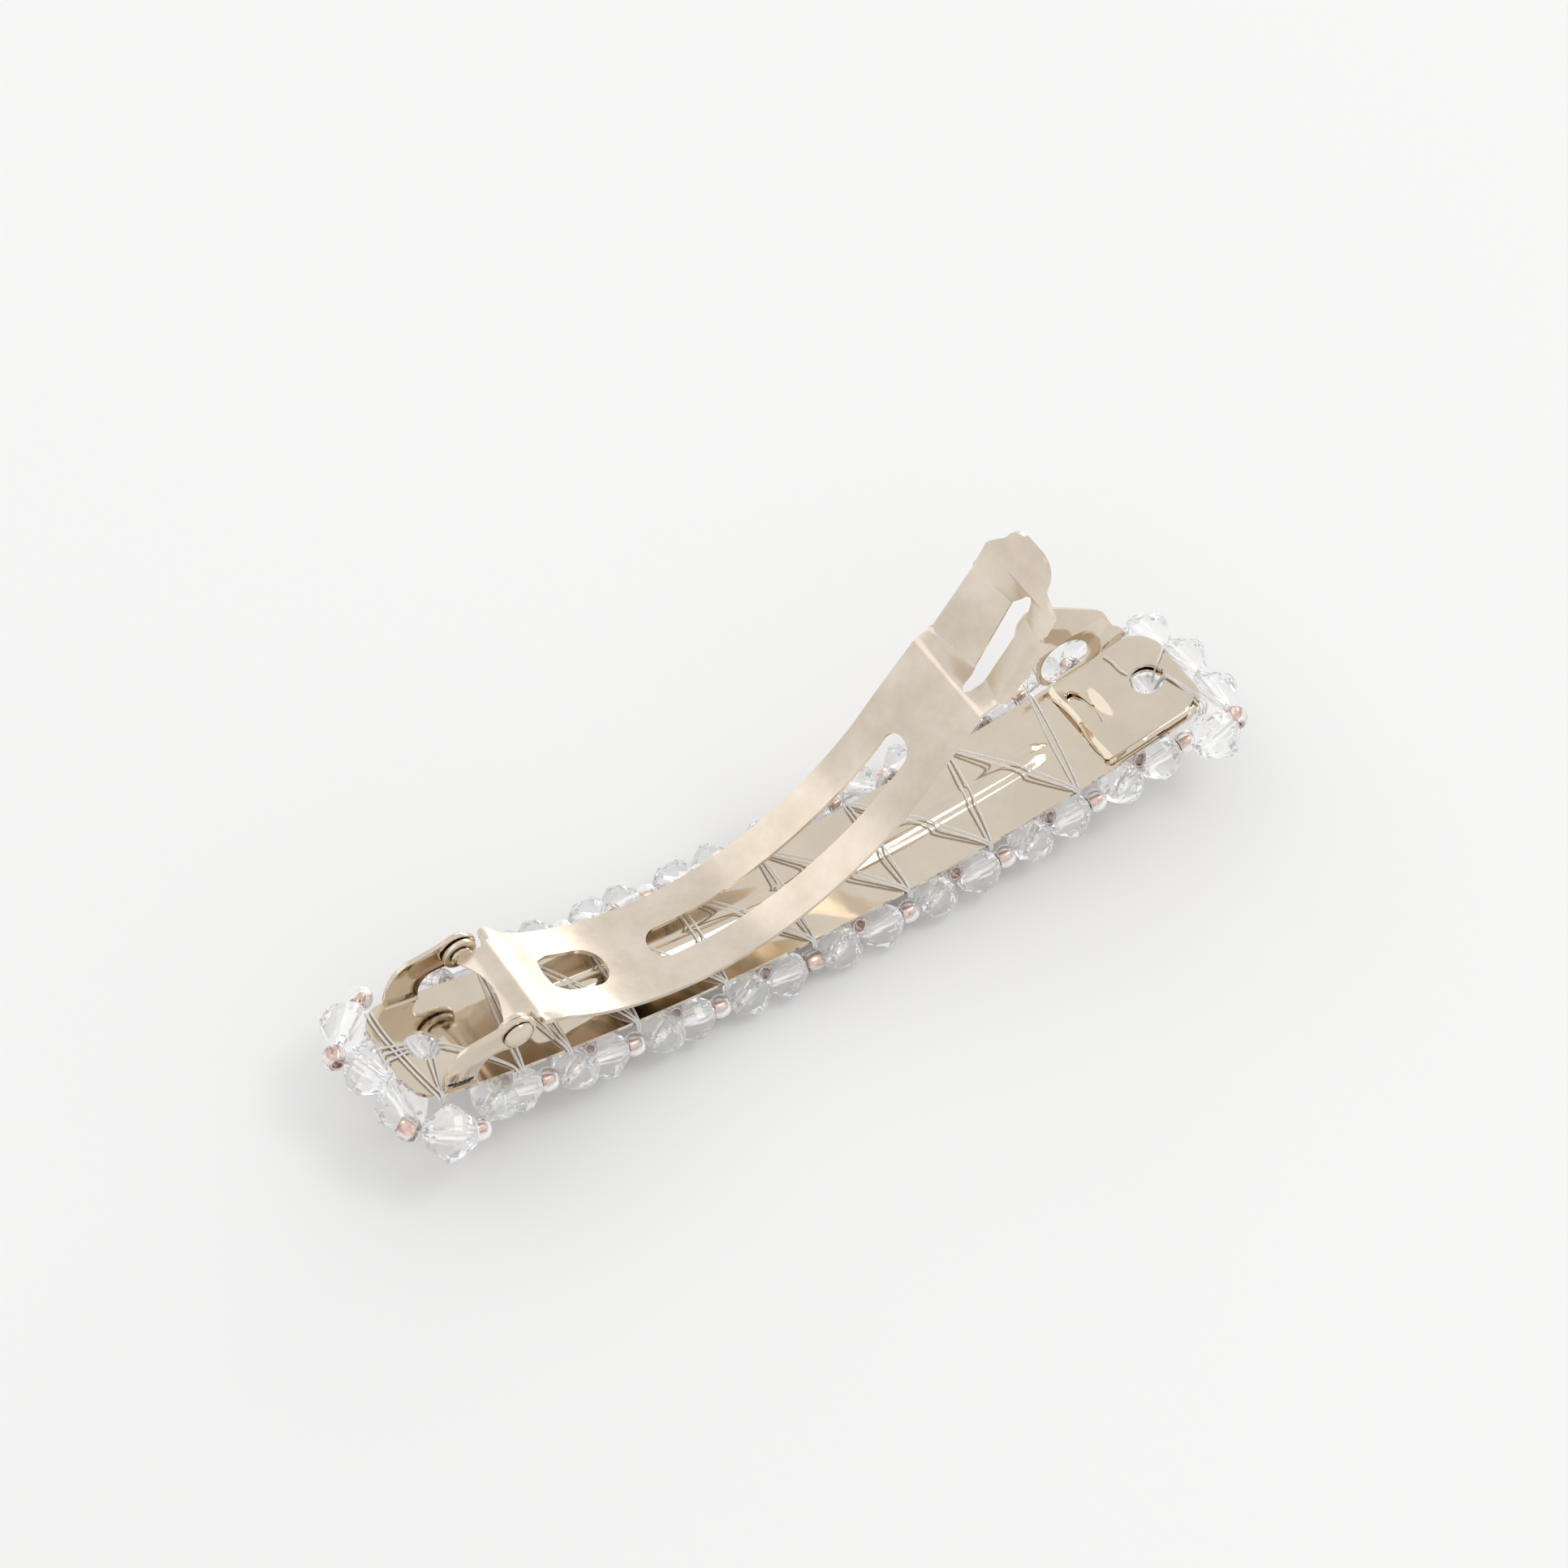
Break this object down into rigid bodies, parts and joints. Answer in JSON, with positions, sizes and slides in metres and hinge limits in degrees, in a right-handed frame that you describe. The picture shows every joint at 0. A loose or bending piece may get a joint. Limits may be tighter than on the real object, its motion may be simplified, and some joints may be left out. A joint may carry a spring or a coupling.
{
  "type": "french barrette hair clip",
  "caption": "Curved metal hair clip with a hinged bow-spring clasp arm, a catch with two pinch wings and a face of laced faceted crystals and seed beads.",
  "frame": {"origin": "centre of the box on the table under the lowest bead", "axes": "+X from the hinge end to the catch end, +Y to the rear long side, +Z out of the mechanism side, beads facing down"},
  "size_m": [0.0876, 0.018, 0.037],
  "materials": {
    "bright_nickel": "warm bright nickel plate, polished",
    "satin_nickel": "warm satin nickel plate on spring steel",
    "crystal_glass": "faceted clear glass with a faint iridescent coating, with copper-lined seed beads",
    "clear_nylon": "clear nylon beading line"
  },
  "bodies": {
    "bar": {"base_bar": "bright_nickel", "bead_diamond_1": "crystal_glass", "bead_diamond_2": "crystal_glass", "bead_diamond_3": "crystal_glass", "bead_diamond_4": "crystal_glass", "bead_diamond_5": "crystal_glass", "bead_diamond_6": "crystal_glass", "bead_diamond_7": "crystal_glass", "bead_diamond_8": "crystal_glass", "bead_diamond_9": "crystal_glass", "bead_edge_front_1": "crystal_glass", "bead_edge_front_2": "crystal_glass", "bead_edge_front_3": "crystal_glass", "bead_edge_front_4": "crystal_glass", "bead_edge_front_5": "crystal_glass", "bead_edge_front_6": "crystal_glass", "bead_edge_front_7": "crystal_glass", "bead_edge_front_8": "crystal_glass", "bead_edge_rear_1": "crystal_glass", "bead_edge_rear_2": "crystal_glass", "bead_edge_rear_3": "crystal_glass", "bead_edge_rear_4": "crystal_glass", "bead_edge_rear_5": "crystal_glass", "bead_edge_rear_6": "crystal_glass", "bead_edge_rear_7": "crystal_glass", "bead_edge_rear_8": "crystal_glass", "bead_end_catch": "crystal_glass", "bead_end_hinge": "crystal_glass", "catch_plate": "bright_nickel", "lacing_a": "clear_nylon", "lacing_b": "clear_nylon", "lashing_catch": "clear_nylon", "lashing_hinge": "clear_nylon"},
    "arm_root": {"clasp_arm_root": "satin_nickel", "hinge_stud_front": "bright_nickel", "hinge_stud_rear": "bright_nickel"},
    "arm_tip": {"clasp_arm_tip": "satin_nickel"},
    "wing_front": {"catch_wing_front": "bright_nickel"},
    "wing_rear": {"catch_wing_rear": "bright_nickel"}
  },
  "joints": [
    {"name": "arm_hinge", "type": "hinge", "parent": "bar", "child": "arm_root", "pos_m": [-0.03054, 0.00008, 0.01238], "axis": [0, -1, 0], "range_deg": [0, 95]},
    {"name": "arm_flex", "type": "hinge", "parent": "arm_root", "child": "arm_tip", "pos_m": [0.00038, 0.00008, 0.00953], "axis": [0, 1, 0], "range_deg": [0, 48], "stiffness_Nm_per_rad": 0.05},
    {"name": "wing_front_pinch", "type": "hinge", "parent": "bar", "child": "wing_front", "pos_m": [0.03376, -0.00467, 0.00882], "axis": [-0.9743, 0, -0.2251], "range_deg": [0, 10], "stiffness_Nm_per_rad": 0.02},
    {"name": "wing_rear_pinch", "type": "hinge", "parent": "bar", "child": "wing_rear", "pos_m": [0.03376, 0.00483, 0.00882], "axis": [0.9743, 0, 0.2251], "range_deg": [0, 10]}
  ],
  "couplings": [
    {"joint": "wing_rear_pinch", "follows": "wing_front_pinch", "ratio": 1}
  ]
}
